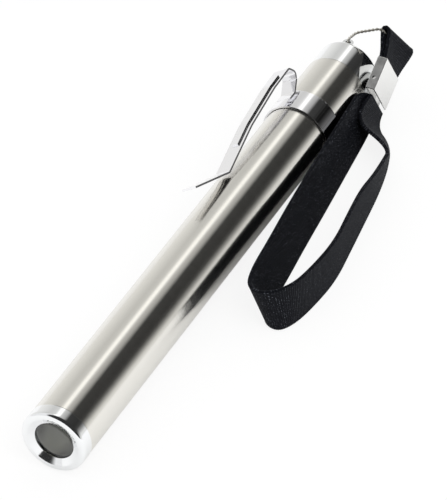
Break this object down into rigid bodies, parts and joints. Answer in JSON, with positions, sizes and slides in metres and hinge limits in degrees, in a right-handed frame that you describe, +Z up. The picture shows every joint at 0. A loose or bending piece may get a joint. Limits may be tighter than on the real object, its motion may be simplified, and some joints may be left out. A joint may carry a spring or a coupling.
{
  "type": "pen examination light",
  "caption": "Steel pen-style examination light with a spring pocket clip, tail push button, wire lanyard loop and a folded webbing wrist strap.",
  "frame": {"origin": "on the resting surface, under the middle of the light without its lanyard", "axes": "+X along the barrel from the lens to the tail, +Y to the side with the clip, +Z up from the surface that the light lies on"},
  "size_m": [0.1462, 0.0329, 0.0188],
  "materials": {
    "brushed_tube": "brushed round the barrel, satin",
    "bright_chrome": "polished",
    "clip_steel": "polished spring sheet",
    "clear_lens": "clear, polished",
    "reflector_silver": "satin metallised bowl",
    "lamp_yellow": "clear dome over a phosphor",
    "board_white": "matt board",
    "black_plastic": "moulded, matt",
    "brass": "bright",
    "cell_case": "plain printed jacket, satin",
    "nickel": "plated, satin",
    "sleeve_card": "thin insulating film",
    "spring_steel": "bright wire",
    "black_rubber": "matt",
    "wire_silver": "twisted bright wire",
    "black_webbing": "ribbed woven strap"
  },
  "bodies": {
    "barrel": {"main_tube": "brushed_tube", "reflector": "reflector_silver", "led_board": "board_white", "led_emitter": "lamp_yellow", "lamp_holder": "black_plastic", "front_contact": "brass", "cell_front": "cell_case", "cell_rear": "cell_case", "cell_terminals": "nickel", "battery_sleeve": "sleeve_card", "battery_spring": "spring_steel", "spring_plate": "brass", "switch_housing": "black_plastic", "switch_spring": "spring_steel", "switch_contact": "brass", "switch_retainer": "brass", "tail_cap": "bright_chrome", "button_seal": "black_rubber", "clip_band": "clip_steel", "lanyard_eye": "bright_chrome"},
    "lens_group": {"lens": "clear_lens", "lens_seal": "black_rubber"},
    "bezel": {"bezel_ring": "bright_chrome"},
    "button": {"push_button": "black_rubber", "switch_plunger": "brass"},
    "clip": {"clip_blade": "clip_steel"},
    "lanyard": {"wire_loop": "wire_silver", "strap_crimp": "bright_chrome", "strap_end_loop": "black_webbing", "wrist_strap": "black_webbing"}
  },
  "joints": [
    {"name": "bezel_slide", "type": "slide", "parent": "barrel", "child": "lens_group", "axis": [-1, 0, 0], "range_m": [0, 0.0015]},
    {"name": "bezel_turn", "type": "hinge", "parent": "lens_group", "child": "bezel", "pos_m": [-0.0653, -0.00042, 0.0075], "axis": [-1, 0, 0], "range_deg": [0, 722]},
    {"name": "button_press", "type": "slide", "parent": "barrel", "child": "button", "axis": [-1, 0, 0], "range_m": [0, 0.0014], "stiffness_N_per_m": 1200, "springref_m": -0.0004, "deforming": ["switch_spring"]},
    {"name": "clip_flex", "type": "hinge", "parent": "barrel", "child": "clip", "pos_m": [0.0473, 0.00464, 0.01514], "axis": [0, 0.8339, -0.5519], "range_deg": [0, 6], "stiffness_Nm_per_rad": 1.5},
    {"name": "lanyard_swing", "type": "hinge", "parent": "barrel", "child": "lanyard", "pos_m": [0.0681, 0.00076, 0.01189], "axis": [0, 0, 1], "range_deg": [0, 30]}
  ],
  "couplings": [
    {"joint": "bezel_turn", "follows": "bezel_slide", "rad_per_m": 8377.6}
  ]
}
